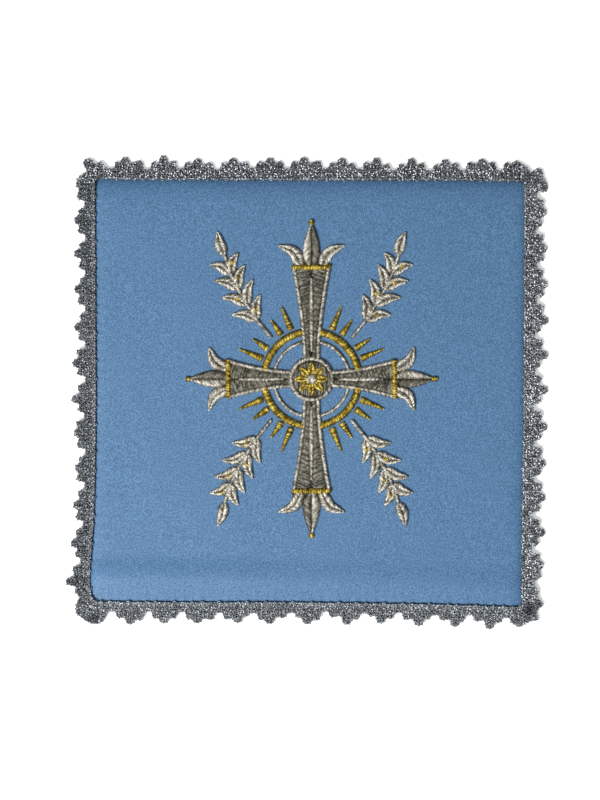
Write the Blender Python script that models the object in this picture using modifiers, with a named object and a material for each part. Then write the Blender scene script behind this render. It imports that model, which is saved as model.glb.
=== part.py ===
"""Chalice pall: a stiffened square of blue cloth with a scalloped silver lace edging.

Metres, +Z up. The pall lies flat: its underside is the plane z = 0, its face looks up, and +Y is the
top of the motif. The origin is the centre of the whole outline, on the underside.
The lengths in the tables are millimetres, and mm() turns them into metres.
"""

import math

import bmesh
import bpy
from mathutils import Vector

# ---------------------------------------------------------------- driving dimensions, millimetres
HALF = 75.0  # half of the blue square that shows inside the lace
THICK = 3.6  # stiffened cloth, away from its edges
RIM_COVER = 0.9  # how far the cloth runs on under the lace
UNDER_RISE = 0.3  # how far the underside lifts at the rim
UNDER_ROLL = 2.0  # width of that lift
CORNER_R = 2.4  # rounding of the cloth's corners
LACE_THICK = 0.6
LACE_OFF_CLOTH = 0.34  # gap between lace and cloth
LACE_SHOULDER = 1.4  # where the lace bends down past the rim, from its inner edge
LACE_SPAN = 7.8  # where the lace reaches its outer level
MOST_DROP = 3.05  # no part of the rim falls further than this

RIMS = {  # how far the face falls at its rim, how quickly that fades inward, outer level of the lace
    "top": (2.9, 2.9, 0.22),
    "right": (1.5, 1.4, 0.30),
    "bottom": (1.2, 2.0, 1.40),
    "left": (1.2, 1.6, 1.50),
}

# The four edges of the blue square: where each lies, at these places along it.
ALONG = (-75.0, -66.0, -45.0, -10.0, 40.0, 75.0)
EDGES = {
    "top": (74.3, 74.2, 74.0, 73.9, 73.8, 73.4),
    "right": (74.1, 74.1, 74.3, 74.8, 75.1, 75.2),
    "bottom": (-73.6, -73.7, -73.9, -73.9, -74.6, -75.6),
    "left": (-75.6, -76.6, -75.3, -74.6, -74.7, -74.9),
}

# The low welt along the bottom edge, where the turned-in cloth is thicker.
WELT = (  # along x, up from the edge, height
    (-75.0, 8.6, 0.95),
    (-35.0, 8.6, 0.90),
    (0.0, 8.2, 0.55),
    (40.0, 7.6, 0.45),
    (75.0, 6.8, 0.50),
)
WELT_ABOVE, WELT_BELOW = 8.0, 6.0  # its half widths, towards the middle and towards the edge

# The outline of the lace: one row for each scallop along each edge, then the four corners.
SCALLOPS = {  # valley before: place, reach; shoulder before; peak: place, reach; shoulder after
    "top": (
        (-69.8, 3.8, 5.9, -64.8, 7.4, 6.0), (-57.1, 3.7, 5.9, -51.4, 8.1, 6.1), (-45.4, 4.1, 5.8, -39.4, 7.2, 5.6),
        (-32.6, 3.7, 5.8, -26.9, 7.4, 5.9), (-20.1, 4.3, 6.1, -14.0, 7.5, 6.1), (-8.0, 4.2, 6.2, -2.1, 7.8, 6.2),
        (5.4, 4.1, 5.8, 11.2, 7.5, 5.6), (17.2, 4.1, 5.9, 23.4, 7.5, 5.3), (29.4, 3.7, 5.3, 35.7, 7.4, 5.6),
        (41.8, 3.5, 5.3, 47.4, 7.1, 5.8), (53.6, 3.8, 6.1, 60.4, 7.5, 6.2), (66.6, 3.9, 6.2, 72.6, 6.9, 6.6),
    ),
    "right": (
        (-67.5, 4.9, 6.9, -61.1, 7.8, 6.5), (-55.8, 3.8, 5.9, -49.9, 8.3, 6.4), (-43.8, 3.8, 6.3, -37.6, 8.2, 6.8),
        (-31.0, 4.2, 6.5, -25.7, 8.2, 6.6), (-18.6, 4.1, 6.4, -12.8, 8.5, 6.5), (-5.9, 3.6, 6.2, 0.2, 8.6, 6.1),
        (6.6, 4.2, 5.8, 12.4, 8.7, 6.5), (19.2, 4.1, 5.9, 24.5, 8.7, 6.9), (31.4, 4.6, 6.9, 37.3, 8.4, 6.6),
        (43.9, 4.7, 6.9, 49.9, 8.0, 6.6), (56.0, 4.3, 6.2, 62.5, 7.9, 7.0), (68.3, 4.6, 8.0, 73.6, 7.6, 7.0),
    ),
    "bottom": (
        (-69.3, 3.9, 6.2, -63.0, 7.9, 7.0), (-56.7, 3.8, 6.3, -51.1, 7.4, 6.2), (-44.9, 3.8, 6.5, -39.5, 7.3, 6.5),
        (-31.8, 4.1, 6.5, -25.2, 7.2, 5.6), (-19.7, 4.3, 6.8, -14.0, 7.6, 5.9), (-6.6, 4.1, 5.9, -1.0, 7.6, 6.7),
        (5.2, 3.5, 5.5, 12.9, 7.6, 6.3), (18.9, 4.0, 5.2, 24.8, 7.0, 5.8), (31.0, 3.6, 6.0, 38.1, 7.6, 5.9),
        (43.8, 4.2, 5.9, 50.8, 7.6, 6.2), (55.8, 3.8, 5.9, 63.0, 8.0, 6.2), (68.8, 4.4, 6.4, 74.6, 7.2, 6.6),
    ),
    "left": (
        (-73.0, 4.6, 5.9, -66.9, 8.5, 6.3), (-59.8, 4.2, 5.8, -53.4, 7.5, 6.2), (-46.9, 4.3, 6.4, -40.1, 7.3, 5.9),
        (-33.3, 4.1, 6.6, -27.1, 7.0, 6.1), (-21.6, 4.1, 6.6, -14.8, 7.6, 7.0), (-9.0, 4.5, 6.4, -3.0, 8.5, 6.4),
        (3.8, 4.2, 6.7, 9.6, 8.1, 6.9), (16.0, 4.2, 6.3, 22.2, 7.5, 5.7), (28.6, 4.2, 6.3, 35.5, 7.4, 5.7),
        (41.0, 4.2, 5.8, 48.0, 7.4, 5.8), (53.4, 4.0, 6.2, 59.7, 7.3, 6.1), (65.2, 4.2, 6.4, 72.6, 7.0, 6.6),
    ),
}
LAST_VALLEY = (80.0, 4.0)  # past the end of every edge
# half the width of a valley's floor, how much deeper it is than its row says, how much lower the shoulders are,
# how much further the tip reaches and how much wider each half of it is
SHAPES = {
    "top": (0.9, 0.0, 0.0, 0.0, 0.0),
    "right": (0.9, 0.0, 0.0, 0.0, 0.0),
    "bottom": (1.0, 0.1, 0.45, 0.15, 0.2),
    "left": (1.0, 0.05, 0.0, 0.3, 0.0),
}
CORNERS = {  # share of the quarter turn, reach out from the cloth
    "top left": (
        (0.0, 6.8), (0.12, 6.6), (0.26, 5.5), (0.45, 4.5), (0.49, 6.4), (0.53, 7.8), (0.62, 8.2), (0.71, 7.9),
        (0.80, 6.8), (0.85, 5.0), (1.0, 5.9),
    ),
    "top right": (
        (0.0, 6.6), (0.17, 5.7), (0.34, 5.0), (0.43, 4.3), (0.47, 6.2), (0.51, 7.6), (0.62, 8.0), (0.70, 7.6),
        (0.79, 7.0), (0.90, 7.8), (1.0, 8.4),
    ),
    "bottom right": (
        (0.0, 7.3), (0.06, 7.9), (0.12, 7.6), (0.19, 6.2), (0.31, 6.2), (0.36, 7.0), (0.41, 8.2), (0.48, 8.2),
        (0.54, 7.2), (0.62, 6.5), (0.76, 6.5), (0.90, 7.1), (1.0, 7.2),
    ),
    "bottom left": (
        (0.0, 8.1), (0.15, 8.2), (0.32, 8.0), (0.44, 7.9), (0.56, 8.4), (0.66, 7.8), (0.76, 7.0), (0.86, 5.9), (1.0, 4.9),
    ),
}
# more places near the corners: (place along the edge, reach)
NEAR_CORNERS = {
    "top": (), "left": (),
    "right": ((-69.2, 5.6), (-70.0, 6.2), (-72.3, 5.8)),
    "bottom": ((-72.2, 7.1), (-71.5, 5.8)),
}


def mm(value):
    return value / 1000.0


def through(rows, at):
    """The smooth curve through rows of (place, value), read at one place."""
    if at <= rows[0][0]:
        return rows[0][1]
    for i in range(len(rows) - 1):
        (x0, y0), (x1, y1) = rows[i], rows[i + 1]
        if at <= x1:
            before, after = rows[max(i - 1, 0)], rows[min(i + 2, len(rows) - 1)]
            t, w = (at - x0) / (x1 - x0), x1 - x0
            m0 = (y1 - before[1]) / (x1 - before[0]) * w
            m1 = (after[1] - y0) / (after[0] - x0) * w
            return (
                (2 * t**3 - 3 * t**2 + 1) * y0
                + (t**3 - 2 * t**2 + t) * m0
                + (3 * t**2 - 2 * t**3) * y1
                + (t**3 - t**2) * m1
            )
    return rows[-1][1]


def edge(name, along):
    return through(list(zip(ALONG, EDGES[name])), along)


# ---------------------------------------------------------------- the stiffened cloth
def welt(x, from_bottom):
    crest = through([(a, b) for a, b, _ in WELT], x)
    height = through([(a, h) for a, _, h in WELT], x)
    off = from_bottom - crest
    share = abs(off) / (WELT_ABOVE if off > 0 else WELT_BELOW)
    return height * 0.5 * (1 + math.cos(math.pi * share)) if share < 1 else 0.0


def face_height(x, from_left, from_right, from_bottom, from_top):
    """Height of the face, given the distances to the cloth's own edges."""
    kept = clear = 1.0
    for name, off in (("left", from_left), ("right", from_right), ("bottom", from_bottom), ("top", from_top)):
        drop, roll, _ = RIMS[name]
        fade = math.exp(-max(off, 0.0) / roll)
        kept *= 1.0 - fade * drop / MOST_DROP
        clear *= 1.0 - fade
    return THICK - MOST_DROP * (1.0 - kept) + welt(x, from_bottom - RIM_COVER) * clear


def under_height(nearest):
    share = max(0.0, 1.0 - nearest / UNDER_ROLL)
    return UNDER_RISE * share**2


def stations(step, ridge_side=False):
    """Where the cloth's sections lie, from -1 to 1: close together at the rims and coarse between."""
    reach = HALF + RIM_COVER
    close = [0.0, 0.7, 2.0, 4.2, 7.6]
    if ridge_side:
        close += [10.0, 12.5, 15.5, 19.0]
    low = [d for d in close]
    high = [2 * reach - d for d in (0.0, 0.7, 2.0, 4.2, 7.6)]
    count = round((high[-1] - low[-1]) / step)
    middle = [low[-1] + (high[-1] - low[-1]) * k / count for k in range(1, count)]
    return [d / reach - 1.0 for d in sorted(low + middle + high)]


def rounded(x, y, box):
    """A point in the square of a corner, moved onto the ring of the quarter circle there."""
    left, right, bottom, top = box
    dx = min(x - left, right - x)
    dy = min(y - bottom, top - y)
    if dx >= CORNER_R or dy >= CORNER_R:
        return x, y
    px, py = CORNER_R - dx, CORNER_R - dy
    shrink = max(px, py) / math.hypot(px, py)
    toward_x = 1 if x - left < right - x else -1
    toward_y = 1 if y - bottom < top - y else -1
    return x + toward_x * px * (1 - shrink), y + toward_y * py * (1 - shrink)


def make_cloth(collection):
    across, upward = stations(9.0), stations(6.5, ridge_side=True)
    mesh = bpy.data.meshes.new("panel")
    bm = bmesh.new()
    bmesh.ops.create_grid(bm, x_segments=len(across) - 1, y_segments=len(upward) - 1, size=1.0)
    bm.verts.ensure_lookup_table()
    place = {}
    for v in bm.verts:
        i = round((v.co.x + 1) / 2 * (len(across) - 1))
        j = round((v.co.y + 1) / 2 * (len(upward) - 1))
        a, b = across[i], upward[j]
        left, right = (edge("left", b * HALF) - RIM_COVER, edge("right", b * HALF) + RIM_COVER)
        bottom, top = (edge("bottom", a * HALF) - RIM_COVER, edge("top", a * HALF) + RIM_COVER)
        x = left + (a + 1) / 2 * (right - left)
        y = bottom + (b + 1) / 2 * (top - bottom)
        offs = (x - left, right - x, y - bottom, top - y)
        place[v.index] = (x, y, offs, (left, right, bottom, top))
    lower = bmesh.ops.extrude_face_region(bm, geom=list(bm.faces))
    new = [g for g in lower["geom"] if isinstance(g, bmesh.types.BMVert)]
    twin = {}
    for v in new:
        twin[(round(v.co.x, 6), round(v.co.y, 6))] = v
    new = set(new)
    for v in [v for v in bm.verts if v not in new]:
        x, y, offs, box = place[v.index]
        other = twin[(round(v.co.x, 6), round(v.co.y, 6))]
        rx, ry = rounded(x, y, box)
        v.co = Vector((mm(rx), mm(ry), mm(under_height(min(offs)))))
        other.co = Vector((mm(rx), mm(ry), mm(face_height(x, *offs))))
    bmesh.ops.recalc_face_normals(bm, faces=list(bm.faces))
    flat = [e for e in bm.edges if all(abs(v.co.z) < 1e-7 for v in e.verts)]
    flat_verts = list({v for e in flat for v in e.verts})
    bmesh.ops.dissolve_limit(bm, angle_limit=math.radians(0.01), verts=flat_verts, edges=flat)
    bm.to_mesh(mesh)
    bm.free()
    mesh.shade_smooth()
    mesh.set_sharp_from_angle(angle=math.radians(50))
    cloth = bpy.data.objects.new("panel", mesh)
    collection.objects.link(cloth)
    return cloth


# ---------------------------------------------------------------- the lace
def corner_point(first, second):
    """Where two edges of the blue square meet."""
    x = y = 0.0
    for name in (first, second):
        other = second if name == first else first
        end = HALF if other in ("top", "right") else -HALF
        if name in ("left", "right"):
            x = edge(name, end)
        else:
            y = edge(name, end)
    return x, y


def side_stations(name, begin, end):
    """(place along the edge, reach) for one side, between its two corners."""
    table = SCALLOPS[name]
    rows = []
    for row, after in zip(table, table[1:] + (LAST_VALLEY,)):
        valley, low, before, peak, high, past = row
        half, deeper, lower, further, wide = SHAPES[name]
        high += further
        rows += [(valley - half, low - deeper), (valley + half, low - deeper)]
        rows += [(valley + half + 0.5, before - 0.2 - lower), (valley + half + 1.6, before + 0.3 - lower)]
        rows += [(peak - 2.0 - wide, before - 0.5 - lower / 3), (peak - 1.3 - wide, high - 0.3), (peak, high + 0.1)]
        rows += [(peak + 1.3 + wide, high - 0.3), (peak + 2.0 + wide, past - 0.5 - lower / 3)]
        rows += [(after[0] - half - 1.6, past + 0.3 - lower), (after[0] - half - 0.5, past - 0.2 - lower)]
    rows += NEAR_CORNERS[name]
    rows.sort()
    ahead = 1 if end > begin else -1
    return [(at, reach) for at, reach in rows[::ahead] if ahead * (at - begin) > 0.6 and ahead * (end - at) > 0.6]


def rim_levels(name):
    """The cloth's face under the lace's inner edge on this side, and the lace's outer level."""
    drop, roll, tip = RIMS[name]
    return THICK - drop * math.exp(-RIM_COVER / roll), tip


def lace_stations():
    """(x, y, outward x, outward y, reach, cloth level, outer level) clockwise from the top left corner."""
    order = ("top", "right", "bottom", "left")
    names = ("top left", "top right", "bottom right", "bottom left")
    outward = {"top": 90.0, "right": 0.0, "bottom": -90.0, "left": 180.0}
    radius = CORNER_R - RIM_COVER
    rows = []
    for k, name in enumerate(order):
        before, after = order[k - 1], order[(k + 1) % 4]
        cx, cy = corner_point(before, name)
        inset = radius * math.sqrt(2)
        middle = math.radians(outward[before] - 45.0)
        ox, oy = cx - inset * math.cos(middle), cy - inset * math.sin(middle)
        for share, reach in CORNERS[names[k]]:
            turn = math.radians(outward[before] - 90.0 * share)
            dx, dy = math.cos(turn), math.sin(turn)
            levels = [a + (b - a) * share * share * (3 - 2 * share) for a, b in zip(rim_levels(before), rim_levels(name))]
            rows.append((ox + radius * dx, oy + radius * dy, dx, dy, reach, *levels))
        ex, ey = corner_point(name, after)
        flat = name in ("top", "bottom")
        begin, end = (cx, ex) if flat else (cy, ey)
        ahead = 1 if end > begin else -1
        begin, end = begin + ahead * radius, end - ahead * radius
        turn = math.radians(outward[name])
        for at, reach in side_stations(name, begin, end):
            level = edge(name, at)
            x, y = (at, level) if flat else (level, at)
            rows.append((x, y, math.cos(turn), math.sin(turn), reach, *rim_levels(name)))
    return rows


def lace_height(out, level, tip):
    """Underside of the lace at this distance out from its inner edge."""
    inner = level + LACE_OFF_CLOTH
    shoulder = inner - 0.36
    if out <= LACE_SHOULDER:
        return inner + (shoulder - inner) * out / LACE_SHOULDER
    return max(shoulder - (shoulder - tip) * (out - LACE_SHOULDER) / (LACE_SPAN - LACE_SHOULDER), 0.05)


def make_lace(collection):
    rows = lace_stations()
    rows.append(rows[0])
    mesh = bpy.data.meshes.new("lace_edging")
    bm = bmesh.new()
    bmesh.ops.create_grid(bm, x_segments=len(rows) - 1, y_segments=2, size=1.0)
    for v in bm.verts:
        i = round((v.co.x + 1) / 2 * (len(rows) - 1))
        column = round(v.co.y + 1)
        x, y, dx, dy, reach, level, tip = rows[i]
        out = (0.0, LACE_SHOULDER, reach)[column]
        v.co = Vector((mm(x + out * dx), mm(y + out * dy), mm(lace_height(out, level, tip))))
    bmesh.ops.remove_doubles(bm, verts=list(bm.verts), dist=1e-6)
    bm.to_mesh(mesh)
    bm.free()
    lace = bpy.data.objects.new("lace_edging", mesh)
    collection.objects.link(lace)
    thick = lace.modifiers.new("thickness", "SOLIDIFY")
    thick.thickness = mm(LACE_THICK)
    thick.offset = 1.0
    return lace


# ---------------------------------------------------------------- materials and placing
def material(name, colour, roughness, metallic):
    made = bpy.data.materials.new(name)
    made.use_nodes = True
    made.diffuse_color = (*colour, 1.0)
    shader = made.node_tree.nodes["Principled BSDF"]
    shader.inputs["Base Color"].default_value = (*colour, 1.0)
    shader.inputs["Roughness"].default_value = roughness
    shader.inputs["Metallic"].default_value = metallic
    return made


def centre(objects):
    """Moves the meshes so that the middle of the whole outline is at x = y = 0."""
    bpy.context.view_layer.update()
    graph = bpy.context.evaluated_depsgraph_get()
    low, high = Vector((1e9, 1e9)), Vector((-1e9, -1e9))
    for o in objects:
        mesh = o.evaluated_get(graph).to_mesh()
        for v in mesh.vertices:
            low = Vector((min(low.x, v.co.x), min(low.y, v.co.y)))
            high = Vector((max(high.x, v.co.x), max(high.y, v.co.y)))
        o.evaluated_get(graph).to_mesh_clear()
    middle = (low + high) / 2
    for o in objects:
        for v in o.data.vertices:
            v.co.x -= middle.x
            v.co.y -= middle.y
    print(f"outline centre was at {middle.x * 1000:.3f}, {middle.y * 1000:.3f} mm")


def main():
    for o in list(bpy.data.objects):
        bpy.data.objects.remove(o)
    pall = bpy.data.collections.new("chalice_pall")
    bpy.context.scene.collection.children.link(pall)
    cloth = make_cloth(pall)
    lace = make_lace(pall)
    centre([cloth, lace])
    cloth.data.materials.append(material("blue_cloth", (0.13, 0.25, 0.42), 0.85, 0.0))
    lace.data.materials.append(material("silver_lace", (0.42, 0.43, 0.44), 0.38, 0.8))


main()
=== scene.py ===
"""Looks of the chalice pall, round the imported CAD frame: woven blue cloth, lace and embroidery of metal thread.

The tables and the lace's line repeat the CAD source, in millimetres in its own table coordinates.
SHIFT moves them to the row frame, and MM turns them into metres.
"""

import math

import bpy
import numpy as np
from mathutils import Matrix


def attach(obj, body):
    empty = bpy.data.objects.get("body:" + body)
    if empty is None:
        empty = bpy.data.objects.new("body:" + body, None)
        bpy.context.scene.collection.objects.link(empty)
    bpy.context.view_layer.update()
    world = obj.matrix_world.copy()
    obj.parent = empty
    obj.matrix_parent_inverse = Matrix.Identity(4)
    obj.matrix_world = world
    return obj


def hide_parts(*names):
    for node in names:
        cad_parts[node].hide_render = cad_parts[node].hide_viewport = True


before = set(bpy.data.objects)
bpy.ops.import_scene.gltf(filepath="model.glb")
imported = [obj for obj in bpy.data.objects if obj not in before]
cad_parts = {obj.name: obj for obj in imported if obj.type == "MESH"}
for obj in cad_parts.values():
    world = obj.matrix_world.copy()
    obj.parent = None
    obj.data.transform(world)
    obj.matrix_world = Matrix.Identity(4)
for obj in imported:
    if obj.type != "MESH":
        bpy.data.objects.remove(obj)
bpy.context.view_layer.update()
MM = 0.001
SHIFT = np.array([0.788, 0.626])
RNG = np.random.default_rng(11)

# ---------------------------------------------------------------- the CAD source's tables, millimetres
HALF, THICK, RIM_COVER = 75.0, 3.6, 0.9
UNDER_RISE, UNDER_ROLL, CORNER_R = 0.3, 2.0, 2.4
LACE_THICK, LACE_OFF_CLOTH, LACE_SHOULDER, LACE_SPAN, MOST_DROP = 0.6, 0.34, 1.4, 7.8, 3.05
RIMS = {
    "top": (2.9, 2.9, 0.22),
    "right": (1.5, 1.4, 0.30),
    "bottom": (1.2, 2.0, 1.40),
    "left": (1.2, 1.6, 1.50),
}
ALONG = np.array((-75.0, -66.0, -45.0, -10.0, 40.0, 75.0))
EDGES = {
    "top": (74.3, 74.2, 74.0, 73.9, 73.8, 73.4),
    "right": (74.1, 74.1, 74.3, 74.8, 75.1, 75.2),
    "bottom": (-73.6, -73.7, -73.9, -73.9, -74.6, -75.6),
    "left": (-75.6, -76.6, -75.3, -74.6, -74.7, -74.9),
}
WELT = np.array(
    ((-75.0, 8.6, 0.95), (-35.0, 8.6, 0.90), (0.0, 8.2, 0.55), (40.0, 7.6, 0.45), (75.0, 6.8, 0.50))
)
WELT_ABOVE, WELT_BELOW = 8.0, 6.0
SCALLOPS = {
    "top": (
        (-69.8, 3.8, 5.9, -64.8, 7.4, 6.0), (-57.1, 3.7, 5.9, -51.4, 8.1, 6.1), (-45.4, 4.1, 5.8, -39.4, 7.2, 5.6),
        (-32.6, 3.7, 5.8, -26.9, 7.4, 5.9), (-20.1, 4.3, 6.1, -14.0, 7.5, 6.1), (-8.0, 4.2, 6.2, -2.1, 7.8, 6.2),
        (5.4, 4.1, 5.8, 11.2, 7.5, 5.6), (17.2, 4.1, 5.9, 23.4, 7.5, 5.3), (29.4, 3.7, 5.3, 35.7, 7.4, 5.6),
        (41.8, 3.5, 5.3, 47.4, 7.1, 5.8), (53.6, 3.8, 6.1, 60.4, 7.5, 6.2), (66.6, 3.9, 6.2, 72.6, 6.9, 6.6),
    ),
    "right": (
        (-67.5, 4.9, 6.9, -61.1, 7.8, 6.5), (-55.8, 3.8, 5.9, -49.9, 8.3, 6.4), (-43.8, 3.8, 6.3, -37.6, 8.2, 6.8),
        (-31.0, 4.2, 6.5, -25.7, 8.2, 6.6), (-18.6, 4.1, 6.4, -12.8, 8.5, 6.5), (-5.9, 3.6, 6.2, 0.2, 8.6, 6.1),
        (6.6, 4.2, 5.8, 12.4, 8.7, 6.5), (19.2, 4.1, 5.9, 24.5, 8.7, 6.9), (31.4, 4.6, 6.9, 37.3, 8.4, 6.6),
        (43.9, 4.7, 6.9, 49.9, 8.0, 6.6), (56.0, 4.3, 6.2, 62.5, 7.9, 7.0), (68.3, 4.6, 8.0, 73.6, 7.6, 7.0),
    ),
    "bottom": (
        (-69.3, 3.9, 6.2, -63.0, 7.9, 7.0), (-56.7, 3.8, 6.3, -51.1, 7.4, 6.2), (-44.9, 3.8, 6.5, -39.5, 7.3, 6.5),
        (-31.8, 4.1, 6.5, -25.2, 7.2, 5.6), (-19.7, 4.3, 6.8, -14.0, 7.6, 5.9), (-6.6, 4.1, 5.9, -1.0, 7.6, 6.7),
        (5.2, 3.5, 5.5, 12.9, 7.6, 6.3), (18.9, 4.0, 5.2, 24.8, 7.0, 5.8), (31.0, 3.6, 6.0, 38.1, 7.6, 5.9),
        (43.8, 4.2, 5.9, 50.8, 7.6, 6.2), (55.8, 3.8, 5.9, 63.0, 8.0, 6.2), (68.8, 4.4, 6.4, 74.6, 7.2, 6.6),
    ),
    "left": (
        (-73.0, 4.6, 5.9, -66.9, 8.5, 6.3), (-59.8, 4.2, 5.8, -53.4, 7.5, 6.2), (-46.9, 4.3, 6.4, -40.1, 7.3, 5.9),
        (-33.3, 4.1, 6.6, -27.1, 7.0, 6.1), (-21.6, 4.1, 6.6, -14.8, 7.6, 7.0), (-9.0, 4.5, 6.4, -3.0, 8.5, 6.4),
        (3.8, 4.2, 6.7, 9.6, 8.1, 6.9), (16.0, 4.2, 6.3, 22.2, 7.5, 5.7), (28.6, 4.2, 6.3, 35.5, 7.4, 5.7),
        (41.0, 4.2, 5.8, 48.0, 7.4, 5.8), (53.4, 4.0, 6.2, 59.7, 7.3, 6.1), (65.2, 4.2, 6.4, 72.6, 7.0, 6.6),
    ),
}
LAST_VALLEY = (80.0, 4.0)
# half the width of a valley's floor, how much deeper it is than its row says, how much lower the shoulders are,
# how much further the tip reaches and how much wider each half of it is
SHAPES = {
    "top": (0.9, 0.0, 0.0, 0.0, 0.0),
    "right": (0.9, 0.0, 0.0, 0.0, 0.0),
    "bottom": (1.0, 0.1, 0.45, 0.15, 0.2),
    "left": (1.0, 0.05, 0.0, 0.3, 0.0),
}
CORNERS = {  # share of the quarter turn, reach out from the cloth
    "top left": (
        (0.0, 6.8), (0.12, 6.6), (0.26, 5.5), (0.45, 4.5), (0.49, 6.4), (0.53, 7.8), (0.62, 8.2), (0.71, 7.9),
        (0.80, 6.8), (0.85, 5.0), (1.0, 5.9),
    ),
    "top right": (
        (0.0, 6.6), (0.17, 5.7), (0.34, 5.0), (0.43, 4.3), (0.47, 6.2), (0.51, 7.6), (0.62, 8.0), (0.70, 7.6),
        (0.79, 7.0), (0.90, 7.8), (1.0, 8.4),
    ),
    "bottom right": (
        (0.0, 7.3), (0.06, 7.9), (0.12, 7.6), (0.19, 6.2), (0.31, 6.2), (0.36, 7.0), (0.41, 8.2), (0.48, 8.2),
        (0.54, 7.2), (0.62, 6.5), (0.76, 6.5), (0.90, 7.1), (1.0, 7.2),
    ),
    "bottom left": (
        (0.0, 8.1), (0.15, 8.2), (0.32, 8.0), (0.44, 7.9), (0.56, 8.4), (0.66, 7.8), (0.76, 7.0), (0.86, 5.9), (1.0, 4.9),
    ),
}
# more places near the corners: (place along the edge, reach)
NEAR_CORNERS = {
    "top": (), "left": (),
    "right": ((-69.2, 5.6), (-70.0, 6.2), (-72.3, 5.8)),
    "bottom": ((-72.2, 7.1), (-71.5, 5.8)),
}

# ---------------------------------------------------------------- looks, millimetres
LOOP_PITCH = 3.2  # the lace's small loops on the cloth
GROUND_GAP = 0.66  # between two rows of the lace's close ground
ROW_GAP = 1.02  # between two rows of lace loops
STITCH_CELL = 0.92  # one raised stitch in each cell of this size
THREAD_R = 0.24  # lace thread
INNER_LIFT = {"top": 0.0, "right": 0.1, "bottom": 0.38, "left": 0.30}  # the inner edge stands off the cloth by this more
# painted light and shade for each side: the lace's tone as (least, span), lighter or darker by how the light falls on
# that side: top, right, bottom, left
SIDE_PAINTED_LIGHT = ((0.06, 1.08), (0.16, 1.30), (0.18, 0.60), (0.08, 0.56))
# the picots stand out past the plain outline: at the scallops, and at the valleys
PICOTS = ((0.45, 0.0), (0.20, 0.0), (0.38, 0.15), (0.38, 0.15))
INNER_EDGE_SHADE = (0.38, 0.45, 0.10, 0.0)  # painted shade near the inner edge, most at the top and right, which face away from the light
SET_BACK = {"top": 0.0, "right": 0.0, "bottom": 0.35, "left": 0.60}  # the threads start this much further out
# Painted shade in the lace's hollows and folds at the corners, painted light where the last value is below nought: x, y
# in table coordinates, radius, how much darker
PAINTED_SHADE_SPOTS = (
    (76.9, -76.9, 1.5, 0.85),
    (-76.0, -79.5, 1.5, 0.60),
    (77.7, 75.8, 1.0, 0.60),
    (-83.2, -65.8, 1.5, 0.45),
    (-80.4, -77.6, 2.4, -0.55),
    (-74.2, -76.9, 1.7, -0.45),
)
# Folds and laps of the lace at the corners: x, y in table coordinates, radius, height
FOLDS = (
    (77.2, -77.0, 1.1, -0.55),
    (74.6, -79.2, 1.9, 0.40),
    (78.9, -73.8, 1.6, 0.30),
    (-78.6, -74.5, 1.0, -0.45),
    (-76.4, -78.6, 3.0, 0.50),
    (78.0, 76.8, 0.9, -0.50),
    (79.6, 74.0, 2.2, 0.35),
    (-76.9, 77.3, 0.9, -0.50),
    (-74.6, 79.6, 2.2, 0.35),
)


# ---------------------------------------------------------------- curves and heights
def through(xs, ys, at):
    """The smooth curve through the points, read at an array of places, as in the CAD source."""
    xs, ys, at = np.asarray(xs, float), np.asarray(ys, float), np.asarray(at, float)
    i = np.clip(np.searchsorted(xs, at, side="left") - 1, 0, len(xs) - 2)
    b, a = np.maximum(i - 1, 0), np.minimum(i + 2, len(xs) - 1)
    w = xs[i + 1] - xs[i]
    t = np.clip((at - xs[i]) / w, 0, 1)
    m0 = (ys[i + 1] - ys[b]) / (xs[i + 1] - xs[b]) * w
    m1 = (ys[a] - ys[i]) / (xs[a] - xs[i]) * w
    return (
        (2 * t**3 - 3 * t**2 + 1) * ys[i]
        + (t**3 - 2 * t**2 + t) * m0
        + (3 * t**2 - 2 * t**3) * ys[i + 1]
        + (t**3 - t**2) * m1
    )


def edge(name, along):
    return through(ALONG, EDGES[name], along)


def welt(x, from_bottom):
    crest = through(WELT[:, 0], WELT[:, 1], x)
    height = through(WELT[:, 0], WELT[:, 2], x)
    off = from_bottom - crest
    share = np.abs(off) / np.where(off > 0, WELT_ABOVE, WELT_BELOW)
    return np.where(share < 1, height * 0.5 * (1 + np.cos(np.pi * np.minimum(share, 1))), 0.0)


def smooth_noise(x, y, size, seed):
    """Soft lumps of about this size, from -1 to 1."""
    rng = np.random.default_rng(seed)
    total = np.zeros_like(x, dtype=float)
    for _ in range(9):
        a = rng.uniform(0, 2 * np.pi)
        k = 2 * np.pi / (size * rng.uniform(0.7, 1.5))
        total += np.sin(k * (x * math.cos(a) + y * math.sin(a)) + rng.uniform(0, 2 * np.pi))
    return total / 4.0


def cloth_face(x, y):
    """Height of the cloth's face at table coordinates, with the small unevenness of real cloth."""
    x, y = np.asarray(x, float), np.asarray(y, float)
    offs = (
        x - (edge("left", y) - RIM_COVER),
        edge("right", y) + RIM_COVER - x,
        y - (edge("bottom", x) - RIM_COVER),
        edge("top", x) + RIM_COVER - y,
    )
    kept = np.ones_like(x)
    clear = np.ones_like(x)
    for off, name in zip(offs, ("left", "right", "bottom", "top")):
        drop, roll, _ = RIMS[name]
        fade = np.exp(-np.maximum(off, 0) / roll)
        kept = kept * (1 - fade * drop / MOST_DROP)
        clear = clear * (1 - fade)
    z = THICK - MOST_DROP * (1 - kept) + welt(x, offs[2] - RIM_COVER) * clear
    near_side, near_flat = np.minimum(offs[0], offs[1]), np.minimum(offs[2], offs[3])
    along = np.where(near_side < near_flat, y, x)
    near = np.minimum(near_side, near_flat)
    pucker = 0.10 * np.exp(-np.maximum(near - 0.9, 0) / 1.5) * np.cos(2 * np.pi * along / LOOP_PITCH)
    uneven = 0.05 * smooth_noise(x, y, 38.0, 3) + 0.018 * smooth_noise(x, y, 9.0, 4)
    return z + (pucker + uneven) * np.minimum(clear * 1.2, 1.0)


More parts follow.
